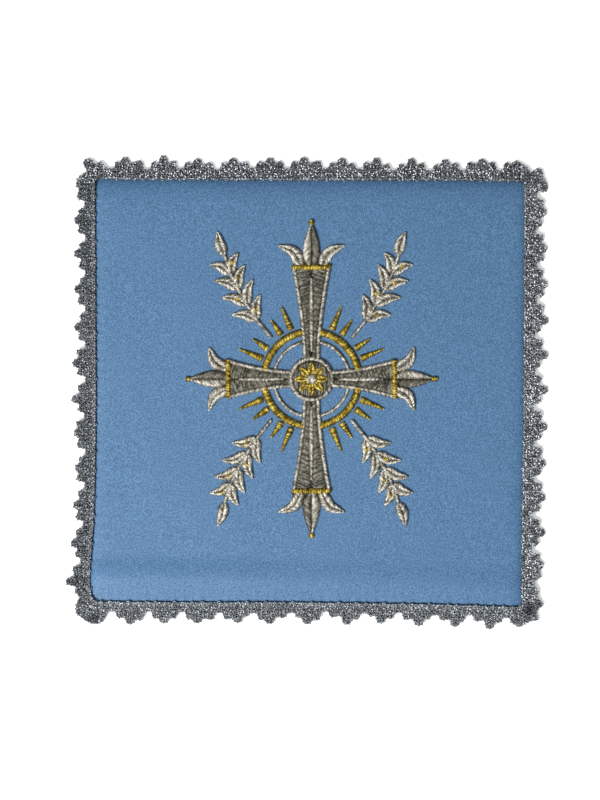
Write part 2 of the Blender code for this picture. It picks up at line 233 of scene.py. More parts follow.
def rim_levels(name):
    """The cloth's face under the lace's inner edge on this side, the lace's outer level and its inner edge's lift."""
    drop, roll, tip = RIMS[name]
    return np.array([THICK - drop * math.exp(-RIM_COVER / roll), tip, INNER_LIFT[name]])


def lace_level(out, levels):
    """Middle of the lace's thickness, at this distance out from its inner edge."""
    out = np.asarray(out, float)
    base = levels[..., 0] + LACE_OFF_CLOTH
    near = base - 0.36 * out / LACE_SHOULDER
    fall = (base - 0.36 - levels[..., 1]) / (LACE_SPAN - LACE_SHOULDER)
    far = np.maximum(base - 0.36 - fall * (out - LACE_SHOULDER), 0.05)
    return np.where(out <= LACE_SHOULDER, near, far) + LACE_THICK / 2 + levels[..., 2] * np.exp(-((out / 1.3) ** 2))


def folds(x, y):
    z = np.zeros_like(x)
    for fx, fy, r, h in FOLDS:
        z += h * np.exp(-((x - fx) ** 2 + (y - fy) ** 2) / (2 * r * r))
    return z


# ---------------------------------------------------------------- meshes from arrays
def make_mesh(name, verts, quads, uv=None, tone=None, smooth=True):
    """A mesh object from arrays: vertices in metres, four corners a face, UV and tone for each."""
    mesh = bpy.data.meshes.new(name)
    quads = np.asarray(quads, np.int32)
    mesh.vertices.add(len(verts))
    mesh.vertices.foreach_set("co", np.asarray(verts, np.float32).ravel())
    mesh.loops.add(quads.size)
    mesh.loops.foreach_set("vertex_index", quads.ravel())
    mesh.polygons.add(len(quads))
    mesh.polygons.foreach_set("loop_start", np.arange(0, quads.size, 4, dtype=np.int32))
    mesh.update(calc_edges=True)
    mesh.polygons.foreach_set("use_smooth", np.full(len(quads), smooth))
    if uv is not None:
        layer = mesh.uv_layers.new(name="thread")
        layer.data.foreach_set("uv", np.asarray(uv, np.float32).ravel())
    if tone is not None:
        attribute = mesh.attributes.new("tone", "FLOAT", "POINT")
        attribute.data.foreach_set("value", np.asarray(tone, np.float32))
    mesh.validate()
    made = bpy.data.objects.new(name, mesh)
    bpy.context.scene.collection.objects.link(made)
    return made


class Threads:
    """Gathers thread tubes and makes one mesh of them."""

    def __init__(self):
        self.verts, self.quads, self.uvs, self.tones, self.count = [], [], [], [], 0

    def add(self, path, radius, sides=4, flat=1.0, turn=0.0, tone=None):
        """path is n by 3 in millimetres, table coordinates. flat squeezes the tube in height."""
        path = np.asarray(path, float)
        n = len(path)
        if n < 2:
            return
        tangent = np.gradient(path, axis=0)
        tangent /= np.maximum(np.linalg.norm(tangent, axis=1, keepdims=True), 1e-9)
        side = np.stack([tangent[:, 1], -tangent[:, 0], np.zeros(n)], 1)
        side /= np.maximum(np.linalg.norm(side, axis=1, keepdims=True), 1e-6)
        up = np.cross(side, tangent)
        r = np.broadcast_to(np.asarray(radius, float), (n,))[:, None]
        ring = []
        for k in range(sides):
            a = 2 * math.pi * k / sides + turn
            ring.append(path + r * (math.cos(a) * side + flat * math.sin(a) * up))
        points = np.stack(ring, 1).reshape(-1, 3)
        i = np.arange(n - 1)[:, None] * sides
        k = np.arange(sides)[None, :]
        k2 = (k + 1) % sides
        quads = np.stack([i + k, i + sides + k, i + sides + k2, i + k2], -1).reshape(-1, 4)
        length = np.concatenate([[0], np.cumsum(np.linalg.norm(np.diff(path, axis=0), axis=1))])
        u0 = np.repeat(length[:-1], sides)
        u1 = np.repeat(length[1:], sides)
        v0 = np.tile(np.arange(sides) / sides, n - 1)
        v1 = v0 + 1 / sides
        uv = np.stack([u0, v0, u1, v0, u1, v1, u0, v1], -1).reshape(-1, 4, 2)
        first = np.array([[k for k in range(4)]])
        last = np.array([[(n - 1) * sides + k for k in (3, 2, 1, 0)]])
        caps = [first, last]
        if sides == 6:
            caps = [
                np.array([[0, 1, 2, 3], [0, 3, 4, 5]]),
                np.array([[3, 2, 1, 0], [5, 4, 3, 0]]) + (n - 1) * sides,
            ]
        caps = np.concatenate(caps)
        self.verts.append(points)
        self.quads.append(np.concatenate([quads, caps]) + self.count)
        self.uvs.append(np.concatenate([uv, np.zeros((len(caps), 4, 2))]))
        value = RNG.uniform(0, 1) if tone is None else tone
        self.tones.append(np.repeat(np.broadcast_to(np.asarray(value, float), (n,)), sides))
        self.count += len(points)

    def make(self, name, painted_side_light=(0.0, 1.0)):
        verts = np.concatenate(self.verts)
        # painted light and shade for each side: the tones are lifted and scaled
        tone = np.clip(painted_side_light[0] + painted_side_light[1] * np.concatenate(self.tones), 0, 1)
        # painted shade in the lace's hollows and folds, painted light where darker is below nought
        for x, y, radius, darker in PAINTED_SHADE_SPOTS:
            tone *= 1 - darker * np.exp(-((verts[:, 0] - x) ** 2 + (verts[:, 1] - y) ** 2) / (2 * radius * radius))
        verts[:, :2] += SHIFT
        return make_mesh(name, verts * MM, np.concatenate(self.quads), np.concatenate(self.uvs), tone)


# ---------------------------------------------------------------- the cloth
def make_cloth():
    reach = HALF + RIM_COVER
    near = [0.0, 0.25, 0.5, 0.8, 1.1, 1.45, 1.8, 2.2, 2.65, 3.15, 3.7]
    middle = np.linspace(3.7, 2 * reach - 3.7, 232)[1:-1]
    at = np.array(sorted(near + list(middle) + [2 * reach - d for d in near]))
    share = at / reach - 1.0
    n = len(share)
    a, b = np.meshgrid(share, share, indexing="ij")
    left, right = edge("left", b * HALF) - RIM_COVER, edge("right", b * HALF) + RIM_COVER
    bottom, top = edge("bottom", a * HALF) - RIM_COVER, edge("top", a * HALF) + RIM_COVER
    x = left + (a + 1) / 2 * (right - left)
    y = bottom + (b + 1) / 2 * (top - bottom)
    dx, dy = np.minimum(x - left, right - x), np.minimum(y - bottom, top - y)
    px, py = CORNER_R - dx, CORNER_R - dy
    corner = (px > 0) & (py > 0)
    shrink = np.where(corner, np.maximum(px, py) / np.maximum(np.hypot(px, py), 1e-9), 1.0)
    rx = x + np.where(corner, np.where(x - left < right - x, 1, -1) * px * (1 - shrink), 0)
    ry = y + np.where(corner, np.where(y - bottom < top - y, 1, -1) * py * (1 - shrink), 0)
    z = cloth_face(x, y)
    face = np.stack([rx, ry, z], -1)
    # the rim of the grid, once round
    ring = (
        [(i, 0) for i in range(n - 1)]
        + [(n - 1, j) for j in range(n - 1)]
        + [(i, n - 1) for i in range(n - 1, 0, -1)]
        + [(0, j) for j in range(n - 1, 0, -1)]
    )
    rim = np.array([face[i, j] for i, j in ring])
    ahead = np.roll(rim, -1, 0) - np.roll(rim, 1, 0)
    out = np.stack([ahead[:, 1], -ahead[:, 0]], 1)
    out /= np.linalg.norm(out, axis=1, keepdims=True)
    verts = [face.reshape(-1, 3)]
    index = np.arange(n * n).reshape(n, n)
    quads = [
        np.stack([index[:-1, :-1], index[1:, :-1], index[1:, 1:], index[:-1, 1:]], -1).reshape(-1, 4)
    ]
    count = n * n
    above = np.array([index[i, j] for i, j in ring])
    # the side, a little round, then the turned-in cloth underneath, ring by ring to the middle
    low = UNDER_RISE
    steps = []
    for f, stand in ((0.12, 0.10), (0.35, 0.22), (0.62, 0.24), (0.86, 0.14), (1.0, 0.0)):
        p = rim.copy()
        p[:, :2] += out * stand
        p[:, 2] = rim[:, 2] + (low - rim[:, 2]) * f
        steps.append(p)
    middle_xy = np.array([0.0, -0.2])
    for off, level in ((0.5, 0.18), (1.0, 0.08), (1.6, 0.02), (2.4, 0.0)):
        p = rim.copy()
        p[:, :2] -= out * off
        p[:, 2] = level
        steps.append(p)
    base = steps[-1]
    for f in (0.90, 0.82, 0.70, 0.55, 0.38, 0.2, 0.06):
        p = base.copy()
        p[:, :2] = middle_xy + (base[:, :2] - middle_xy) * f
        p[:, 2] = 0.0
        steps.append(p)
    m = len(ring)
    previous = above
    for p in steps:
        verts.append(p)
        here = np.arange(m) + count
        count += m
        quads.append(np.stack([np.roll(previous, -1), previous, here, np.roll(here, -1)], -1))
        previous = here
    verts.append(np.array([[middle_xy[0], middle_xy[1], 0.0]]))
    hub = count
    pairs = previous.reshape(-1, 2)
    after = np.roll(previous, -2).reshape(-1, 2)
    quads.append(np.stack([after[:, 0], pairs[:, 1], pairs[:, 0], np.full(len(pairs), hub)], -1))
    points = np.concatenate(verts)
    points[:, :2] += SHIFT
    return make_mesh("cloth", points * MM, np.concatenate(quads))


# ---------------------------------------------------------------- the lace
def corner_point(first, second):
    x = y = 0.0
    for name in (first, second):
        other = second if name == first else first
        end = HALF if other in ("top", "right") else -HALF
        if name in ("left", "right"):
            x = float(edge(name, np.array([end]))[0])
        else:
            y = float(edge(name, np.array([end]))[0])
    return x, y


def side_rows(name, begin, end):
    """(place along the edge, reach) for one side, between its two corners, as in the CAD source."""
    table = SCALLOPS[name]
    rows = []
    for row, after in zip(table, table[1:] + (LAST_VALLEY,)):
        valley, low, before, peak, high, past = row
        half, deeper, lower, further, wide = SHAPES[name]
        high += further
        rows += [(valley - half, low - deeper), (valley + half, low - deeper)]
        rows += [(valley + half + 0.5, before - 0.2 - lower), (valley + half + 1.6, before + 0.3 - lower)]
        rows += [(peak - 2.0 - wide, before - 0.5 - lower / 3), (peak - 1.3 - wide, high - 0.3), (peak, high + 0.1)]
        rows += [(peak + 1.3 + wide, high - 0.3), (peak + 2.0 + wide, past - 0.5 - lower / 3)]
        rows += [(after[0] - half - 1.6, past + 0.3 - lower), (after[0] - half - 0.5, past - 0.2 - lower)]
    rows += NEAR_CORNERS[name]
    rows.sort()
    ahead = 1 if end > begin else -1
    return [(at, reach) for at, reach in rows[::ahead] if ahead * (at - begin) > 0.6 and ahead * (end - at) > 0.6]


class Line:
    """The lace's inner edge all the way round, closely sampled: place, outward direction, reach, side."""

    def __init__(self):
        order = ("top", "right", "bottom", "left")
        names = ("top left", "top right", "bottom right", "bottom left")
        outward = {"top": 90.0, "right": 0.0, "bottom": -90.0, "left": 180.0}
        radius = CORNER_R - RIM_COVER
        points, ways, reaches, sides, levels, backs = [], [], [], [], [], []
        for k, name in enumerate(order):
            before, after = order[k - 1], order[(k + 1) % 4]
            cx, cy = corner_point(before, name)
            inset = radius * math.sqrt(2)
            middle = math.radians(outward[before] - 45.0)
            ox, oy = cx - inset * math.cos(middle), cy - inset * math.sin(middle)
            table = np.array(CORNERS[names[k]])
            share = np.linspace(0, 1, 121)
            turn = np.radians(outward[before] - 90.0 * share)
            way = np.stack([np.cos(turn), np.sin(turn)], 1)
            points.append(np.array([ox, oy]) + radius * way)
            ways.append(way)
            reaches.append(np.interp(share, table[:, 0], table[:, 1]))
            sides.append(np.full(len(share), k))
            blend = (share * share * (3 - 2 * share))[:, None]
            levels.append(rim_levels(before) + (rim_levels(name) - rim_levels(before)) * blend)
            backs.append(SET_BACK[before] + (SET_BACK[name] - SET_BACK[before]) * blend[:, 0])
            ex, ey = corner_point(name, after)
            flat = name in ("top", "bottom")
            begin, end = (cx, ex) if flat else (cy, ey)
            ahead = 1 if end > begin else -1
            begin, end = begin + ahead * radius, end - ahead * radius
            rows = side_rows(name, begin, end)
            next_table = CORNERS[names[(k + 1) % 4]]
            rows = [(begin, table[-1, 1])] + rows + [(end, next_table[0][1])]
            at = np.linspace(begin, end, 1481)[1:-1]
            xs = np.array([r[0] for r in rows]) * ahead
            reach = np.interp(at * ahead, xs, [r[1] for r in rows])
            level = edge(name, at)
            points.append(np.stack([at, level] if flat else [level, at], 1))
            a = math.radians(outward[name])
            ways.append(np.tile([math.cos(a), math.sin(a)], (len(at), 1)))
            reaches.append(reach)
            sides.append(np.full(len(at), k))
            levels.append(np.tile(rim_levels(name), (len(at), 1)))
            backs.append(np.full(len(at), SET_BACK[name]))
        self.p = np.concatenate(points)
        self.d = np.concatenate(ways)
        self.r = np.concatenate(reaches)
        self.side = np.concatenate(sides)
        self.level = np.concatenate(levels + [levels[0][:1]])
        self.back = np.concatenate(backs + [backs[0][:1]])
        self.p = np.concatenate([self.p, self.p[:1]])
        self.d = np.concatenate([self.d, self.d[:1]])
        self.r = np.concatenate([self.r, self.r[:1]])
        self.side = np.concatenate([self.side, [3]])
        kernel = np.hanning(31) / np.hanning(31).sum()
        tips, valleys = (
            np.convolve(np.pad(np.array([p[k] for p in PICOTS])[self.side], 15, mode="wrap"), kernel, "valid") for k in (0, 1)
        )
        self.r = self.r + valleys + (tips - valleys) * np.clip((self.r - 4.2) / 1.4, 0, 1)
        self.tight = self.inset(0.48)  # for the middle of threads that stay inside the outline
        self.tighter = self.inset(0.56)

    def inset(self, radius):
        """The reach as it is this far inside the outline on every side (samples lie 0.1 mm apart)."""
        drawn = self.r - radius
        for k in range(1, int(radius / 0.1 + 0.01) + 1):
            rise = math.sqrt(max(radius * radius - (0.1 * k) ** 2, 0.0))
            for s in (-k, k):
                drawn = np.minimum(drawn, np.roll(self.r, s) - rise)
        return drawn

    def track(self, off):
        """The line at this distance out (a number or one for each sample), with its length."""
        off = np.broadcast_to(np.asarray(off, float), (len(self.p),))
        q = self.p + off[:, None] * self.d
        length = np.concatenate([[0], np.cumsum(np.linalg.norm(np.diff(q, axis=0), axis=1))])
        return q, length

    def read(self, length, at, *columns):
        return [
            np.stack([np.interp(at, length, c[:, k]) for k in range(c.shape[1])], 1)
            if c.ndim == 2
            else np.interp(at, length, c)
            for c in columns
        ]


def runs(valid, least=4):
    """Slices of consecutive True."""
    valid = np.concatenate([[False], valid, [False]])
    edges = np.flatnonzero(valid[1:] != valid[:-1])
    return [slice(a, b) for a, b in zip(edges[::2], edges[1::2]) if b - a >= least]


def side_of(line, length, at):
    return line.side[np.clip(np.searchsorted(length, at), 0, len(line.side) - 1)]


def place(line, length, at, off, lift=0.0):
    """3-D points of the lace at these places along a track and distances out."""
    p, d, level = line.read(length, at, line.p, line.d, line.level)
    d = d / np.linalg.norm(d, axis=1, keepdims=True)
    xy = p + off[:, None] * d
    z = lace_level(off, level) + folds(xy[:, 0], xy[:, 1]) + lift
    return np.column_stack([xy, z])


def put(threads, line, length, at, points, valid, radius, tone, least=4, flat=1.0):
    """Adds the valid stretches of one long path, each to the thread set of its side."""
    side = side_of(line, length, at)
    for k in range(4):
        for s in runs(valid & (side == k), least):
            stop = min(s.stop + 1, len(points)) if s.stop < len(points) and valid[min(s.stop, len(valid) - 1)] else s.stop
            threads[k].add(points[s.start : stop], radius, flat=flat, tone=tone[s.start : stop])


def loop_tones(count, steps):
    """A tone for each loop, mostly dull with some bright ones, blended a little along the thread."""
    each = RNG.uniform(0, 1, count) ** 1.4
    tone = np.interp(np.arange(count * steps + 1) / steps, np.arange(count) + 0.5, each)
    return np.clip(tone + RNG.normal(0, 0.12, len(tone)), 0, 1)


def inner_edge_shading(line, length, at, off):
    """Painted shade near the inner edge: the share of the tone kept at this distance out, against the rest of its side.
    """
    return 1 - np.array(INNER_EDGE_SHADE)[side_of(line, length, at)] * np.exp(-((off / 1.1) ** 2))


def stroll(t, size, seed):
    """A slow uneven drift along a row."""
    rng = np.random.default_rng(seed)
    total = np.zeros_like(t)
    for k in range(5):
        total += np.sin(t * rng.uniform(0.25, 1.9) + rng.uniform(0, 2 * np.pi))
    return size * total / 2.2


def lace_ground(line, threads):
    """Flat dark threads laid close, so that nothing shows through the lace; their dark tone is painted shade in the
    gaps between the loops.
    """
    for row in range(13):
        off0 = 0.30 + GROUND_GAP * row
        q, length = line.track(off0)
        at = np.arange(0, length[-1], 0.5)
        off = off0 + 0.10 * np.sin(at * 2.1 + 1.9 * row) + stroll(at, 0.05, 40 + row)
        reach, back = line.read(length, at, line.tighter, line.back)
        points = place(line, length, at, off, -0.16 + 0.05 * np.sin(at * 2.1 + 1.9 * row + 1.0))
        # painted shade: the ground's dark tone darkens the gaps between the loops
        tone = np.clip(0.10 + 0.10 * RNG.normal(0, 1, len(at)), 0, 0.35)
        put(threads, line, length, at, points, (off < reach) & (off > back + 0.25), 0.40, tone, flat=0.45)


def lace_loops(line, threads):
    """Rows of loops, each row reaching into the next."""
    steps = 9
    for row in range(8):
        off0 = 0.55 + ROW_GAP * row
        q, length = line.track(off0)
        total = length[-1]
        count = round(total / 1.56)
        t = np.arange(count * steps + 1) / steps
        phase = 2 * np.pi * t + stroll(t, 0.9, 60 + row)
        at = t * total / count - 0.56 * np.sin(phase) + stroll(t, 0.22, 80 + row)
        at = np.clip(at + RNG.normal(0, 0.03, len(t)), 0.0, total)
        off = off0 + (0.52 + stroll(t, 0.10, 90 + row)) * np.cos(phase) + stroll(t, 0.12, 100 + row)
        reach, back = line.read(length, at, line.tight, line.back)
        off = np.maximum(off, back + 0.08 + 0.3 * (off - back - 0.08))
        lift = 0.06 + 0.20 * np.sin(phase + 0.9) + stroll(t, 0.05, 110 + row)
        points = place(line, length, at, off, lift)
        # painted shade near the inner edge, and darker further out
        tone = loop_tones(count, steps) * (0.66 - 0.04 * off) * inner_edge_shading(line, length, at, off)
        put(threads, line, length, at, points, off < reach + 0.03, THREAD_R, np.clip(tone, 0, 1))


def lace_stitches(line, threads):
    """Short raised stitches over the loops, like the knots of the lace, lying every way."""
    u = np.array([-1.0, -0.55, 0.0, 0.55, 1.0])
    arch = 1 - u * u
    for row in range(10):
        off0 = 0.42 + STITCH_CELL * 0.94 * row
        q, length = line.track(off0)
        for cell in range(int(length[-1] / STITCH_CELL)):
            at0 = (cell + 0.5 + (0.5 if row % 2 else 0.0) + RNG.uniform(-0.34, 0.34)) * STITCH_CELL
            off1 = off0 + RNG.uniform(-0.32, 0.32)
            tight = line.read(length, np.array([at0]), line.tight)[0][0]
            side = int(side_of(line, length, np.array([at0]))[0])
            if off1 > tight - 0.06:
                continue
            angle = RNG.uniform(0, math.pi)
            bead = RNG.uniform(0, 1) < 0.42
            half = RNG.uniform(0.30, 0.52) if bead else RNG.uniform(0.24, 0.42)
            at = at0 + u * half * math.cos(angle)
            off = off1 + u * half * math.sin(angle)
            reach, back = line.read(length, at, line.tight, line.back)
            off = np.maximum(np.minimum(off, reach), back - 0.05)
            points = place(line, length, np.clip(at, 0, length[-1]), off, 0.06 + 0.34 * arch)
            # painted highlight along the top of each stitch's arch, painted shade near the inner edge, and darker
            # further out
            bright = RNG.uniform(0.58, 1.0) if bead else RNG.uniform(0.05, 0.40)
            bright *= float(inner_edge_shading(line, length, np.array([at0]), off1)[0])
            tone = np.clip(bright * (1.10 - 0.06 * off1) + 0.30 * (arch - 0.6), -0.1, 1)
            threads[side].add(points, RNG.uniform(0.28, 0.34) if bead else RNG.uniform(0.20, 0.25), tone=tone)


def lace_outline(line, threads):
    """A cord just inside the outline, and small picots along it, both darkened by painted shade."""
    for inset, radius, amp, pitch, lift0, shade in (
        (0.50, 0.25, 0.0, 0.9, 0.10, 0.50),
        (0.46, 0.20, 0.31, 1.34, 0.04, 0.55),
    ):
        drawn = np.maximum(line.inset(inset), 0.6)
        q, length = line.track(drawn)
        fine = np.arange(0, length[-1], 0.12)
        kernel = np.exp(-0.5 * (np.arange(-8, 9) / 1.6) ** 2)
        kernel /= kernel.sum()
        wrap = lambda v: np.convolve(np.concatenate([v[-8:], v, v[:8]]), kernel, "valid")
        qx, qy = wrap(np.interp(fine, length, q[:, 0])), wrap(np.interp(fine, length, q[:, 1]))
        smooth = np.column_stack([qx, qy])
        fine_length = np.concatenate([[0], np.cumsum(np.linalg.norm(np.diff(smooth, axis=0), axis=1))])
        side_fine = side_of(line, length, fine)
        off_fine = np.interp(fine, length, drawn)
        levels = np.stack([np.interp(fine, length, line.level[:, k]) for k in range(3)], 1)
        count = round(fine_length[-1] / pitch)
        steps = 11 if amp else 3
        t = np.arange(count * steps + 1) / steps
        phase = 2 * np.pi * t
        middle = t * fine_length[-1] / count
        at = middle - 1.2 * amp * np.sin(phase) * (1 + 0.2 * np.sin(1.7 * t)) + (stroll(t, 0.2, 7) if amp else 0.0)
        read = lambda column, where: np.interp(where, fine_length, column)
        tx, ty = read(qx, at + 0.3) - read(qx, at - 0.3), read(qy, at + 0.3) - read(qy, at - 0.3)
        size = np.maximum(np.hypot(tx, ty), 1e-6)
        bump = amp * (1 + stroll(t, 0.25, 9)) * np.cos(phase)
        x, y = read(qx, at) - ty / size * bump, read(qy, at) + tx / size * bump
        off = read(off_fine, at) + bump
        level = np.stack([read(levels[:, k], at) for k in range(3)], 1)
        wave = 0.14 * np.sin(phase + 0.8) if amp else 0.05 * np.sin(phase)
        points = np.column_stack([x, y, lace_level(off, level) + folds(x, y) + lift0 + wave])
        side = side_fine[np.clip(np.searchsorted(fine_length, middle), 0, len(side_fine) - 1)]
        # painted shade along the outline: the cords' tone is scaled down by shade
        tone = loop_tones(count, steps) * shade
        for k in range(4):
            for s in runs(side == k, 3):
                stop = min(s.stop + 1, len(points))
                threads[k].add(points[s.start : stop], radius, tone=tone[s.start : stop])


def lace_inner(line, threads):
    """The inner edge: a wavy cord, and small loops sewn down on the cloth."""
    q, length = line.track(0.0)
    total = length[-1]
    count = round(total / LOOP_PITCH)
    pitch = total / count
    at = np.arange(0, total, 0.25)
    wave = np.array((0.20, 0.20, 0.50, 0.46))[side_of(line, length, at)]
    back = line.read(length, at, line.back)[0]
    off = 0.38 + back + (wave - 0.20) * 0.6 + wave * np.cos(2 * np.pi * at / pitch) + stroll(at, 0.06, 12)
    points = place(line, length, at, off, 0.10)
    which = side_of(line, length, at)
    # painted light and shade on the inner cord: a tone for each side by how the light falls there, with painted glints
    # at the top and right
    painted_glints = np.array((0.75, 0.75, 0.0, 0.0))[which] * np.maximum(np.cos(2 * np.pi * at / 1.15 + stroll(at, 0.8, 31)), 0) ** 5
    tone = np.clip(np.array((0.05, -0.14, 0.30, 0.34))[which] + painted_glints + RNG.normal(0, 0.16, len(at)), -0.25, 1)
    put(threads, line, length, at, points, np.full(len(at), True), 0.27, tone)
    # the seam: cords that fill the space between the cloth's rim and the lace
    sewn = np.arange(0, total, 0.5)
    for out, rise, radius in (
        (0.35, 0.20, 0.34), (0.42, 0.60, 0.30), (0.50, 0.95, 0.28), (0.50, 1.30, 0.28), (0.52, 1.65, 0.28), (0.54, 2.00, 0.28),
    ):
        back = line.read(length, sewn, line.back)[0]
        points = place(line, length, sewn, np.minimum(out + back, 0.78), -0.30)
        over = cloth_face(points[:, 0], points[:, 1]) + rise + 0.04 * np.sin(2.3 * sewn)
        gap = points[:, 2] > over - 0.12
        points[:, 2] = np.minimum(over, np.maximum(points[:, 2], over - rise + 0.16))
        # painted light and shade on the seam: lighter at the bottom and left, where it lies in the lace's shadow,
        # darker at the top and right
        seam_side_light = np.array((0.04, -0.12, 0.42, 0.60))[side_of(line, length, sewn)]
        tone = np.clip(seam_side_light + RNG.normal(0, 0.18, len(sewn)), -0.25, 1)
        # the upper ones only where the lace stands high over the cloth, as near the corners
        put(threads, line, length, sewn, points, gap if rise > 0.9 else np.full(len(sewn), True), radius, tone, least=2)
    for k in range(2 * count):
        big = k % 2 == 0
        span = np.linspace(-0.5, 0.5, 13)
        at = (k / 2 + 0.5) * pitch + span * (0.50 if big else 0.36) * pitch + 0.16 * math.sin(2.3 * k)
        rise = np.sqrt(np.maximum(1 - (2 * span) ** 2, 0))
        k4 = int(side_of(line, length, np.array([at[6]]))[0])
        deep = ((0.70, 0.66, 0.72, 0.84)[k4] + 0.18 * math.sin(1.9 * k)) if big else (0.34, 0.34, 0.34, 0.66)[k4]
        off = 0.42 + float(np.interp(at[6], length, line.back)) - deep * rise
        points = place(line, length, np.clip(at, 0, total), off, 0.0)
        over = cloth_face(points[:, 0], points[:, 1])
        points[:, 2] = np.maximum(over + 0.26, points[:, 2] - 0.10 + 0.14 * rise)
        # painted highlight at the crown of each loop, and painted shade at the top and right
        painted_highlight = (0.40, 0.30, 0.70, 0.25)[k4]
        tone = np.clip(RNG.uniform(0.0, 0.35) - (0.10, 0.16, 0.0, 0.0)[k4] + painted_highlight * rise**5 + RNG.normal(0, 0.10, 13), 0, 1)
        threads[k4].add(points, 0.19, tone=tone)


def make_lace():
    line = Line()
    threads = [Threads() for _ in range(4)]
    lace_ground(line, threads)
    lace_loops(line, threads)
    lace_stitches(line, threads)
    lace_outline(line, threads)
    lace_inner(line, threads)
    names = ("lace_top", "lace_right", "lace_bottom", "lace_left")
    # each side of the lace gets its painted light and shade
    return [threads[k].make(name, SIDE_PAINTED_LIGHT[k]) for k, name in enumerate(names)]


# ---------------------------------------------------------------- the embroidery
HEART = np.array([0.55, 4.05])  # middle of the design in table coordinates
PITCH = 0.37


def smooth_curve(points, step=0.2):
    """A smooth line through a few points, evenly sampled."""
    points = np.asarray(points, float)
    chord = np.concatenate([[0], np.cumsum(np.linalg.norm(np.diff(points, axis=0), axis=1))])
    t = np.linspace(0, chord[-1], max(int(chord[-1] / 0.05), 8))
    xy = np.stack([through(chord, points[:, 0], t), through(chord, points[:, 1], t)], 1)
    return resample(xy, step)


def resample(xy, step):
    length = np.concatenate([[0], np.cumsum(np.linalg.norm(np.diff(xy, axis=0), axis=1))])
    n = max(int(round(length[-1] / step)), 2)
    at = np.linspace(0, length[-1], n + 1)
    return np.stack([np.interp(at, length, xy[:, 0]), np.interp(at, length, xy[:, 1])], 1)


def normals(xy):
    t = np.gradient(xy, axis=0)
    t /= np.maximum(np.linalg.norm(t, axis=1, keepdims=True), 1e-9)
    return t, np.stack([-t[:, 1], t[:, 0]], 1)


def satin(threads, a, b, height, radius=0.225, lift=0.0, tone=(0.2, 1.0)):
    """Stitches laid side by side from the points a to the points b, each an arch over the cloth."""
    for p, q in zip(a, b):
        w = float(np.linalg.norm(q - p))
        if w < 0.25:
            continue
        n = int(np.clip(w / 0.55, 4, 9))
        u = np.linspace(0, 1, n + 1)
        xy = p[None, :] + u[:, None] * (q - p)[None, :]
        xy = xy + RNG.normal(0, 0.018, 2)
        h = min(1.25 * height, 0.34 + 0.40 * w)
        arch = h * np.sqrt(np.maximum(1 - (2 * u - 1) ** 2, 0)) + lift
        face = cloth_face(xy[:, 0], xy[:, 1])
        z = face + arch + 0.02
        z[0] -= 0.12
        z[-1] -= 0.12
        threads.add(np.column_stack([xy, z]), radius, tone=np.clip(RNG.uniform(*tone) + RNG.normal(0, 0.38, len(z)), 0, 1))


def column(threads, path, width, height, slant=0.0, pitch=PITCH, **kw):
    """A satin column along a path. width is a number or a function of the share of its length."""
    xy = resample(np.asarray(path, float), pitch)
    t, n = normals(xy)
    share = np.linspace(0, 1, len(xy))
    w = np.array([width(s) for s in share]) if callable(width) else np.full(len(xy), width)
    a = xy + n * w[:, None] / 2 + t * (slant * w[:, None] / 2)
    b = xy - n * w[:, None] / 2 - t * (slant * w[:, None] / 2)
    satin(threads, a, b, height, **kw)


def leaf(bright, dark, foot, tip, width, bend=0.12, height=0.75):
    """A leaf of two halves that meet in its midrib: one bright, one dark."""
    foot, tip = np.asarray(foot, float), np.asarray(tip, float)
    d = tip - foot
    n = np.array([-d[1], d[0]])
    middle = foot + d * 0.5 + n * bend
    rib = smooth_curve([foot, middle, tip])
    rib = resample(rib, PITCH)
    t, nn = normals(rib)
    share = np.linspace(0, 1, len(rib))
    half = width / 2 * np.sin(np.pi * np.clip(share, 0, 1) ** 0.85) ** 0.8
    for side, threads in ((1, bright), (-1, dark)):
        a = rib + nn * side * half[:, None] - t * 0.55 * half[:, None]
        b = rib + t * 0.35 * half[:, None] - nn * side * 0.08
        satin(threads, a, b, height)


def disc(threads, centre, r, height, angle=0.0, squash=1.0):
    """A round padded spot of parallel stitches."""
    at = np.arange(-r + 0.15, r - 0.1, PITCH)
    c, s = math.cos(angle), math.sin(angle)
    half = np.sqrt(np.maximum(r * r - at * at, 0)) * squash
    a = np.stack([at, half], 1) @ np.array([[c, s], [-s, c]]) + centre
    b = np.stack([at, -half], 1) @ np.array([[c, s], [-s, c]]) + centre
    lift = 0.22 * np.sqrt(np.maximum(1 - (at / r) ** 2, 0))
    for p, q, k in zip(a, b, lift):
        satin(threads, [p], [q], height, lift=k)


def turned(points, angle):
    c, s = math.cos(angle), math.sin(angle)
    return np.asarray(points, float) @ np.array([[c, s], [-s, c]])


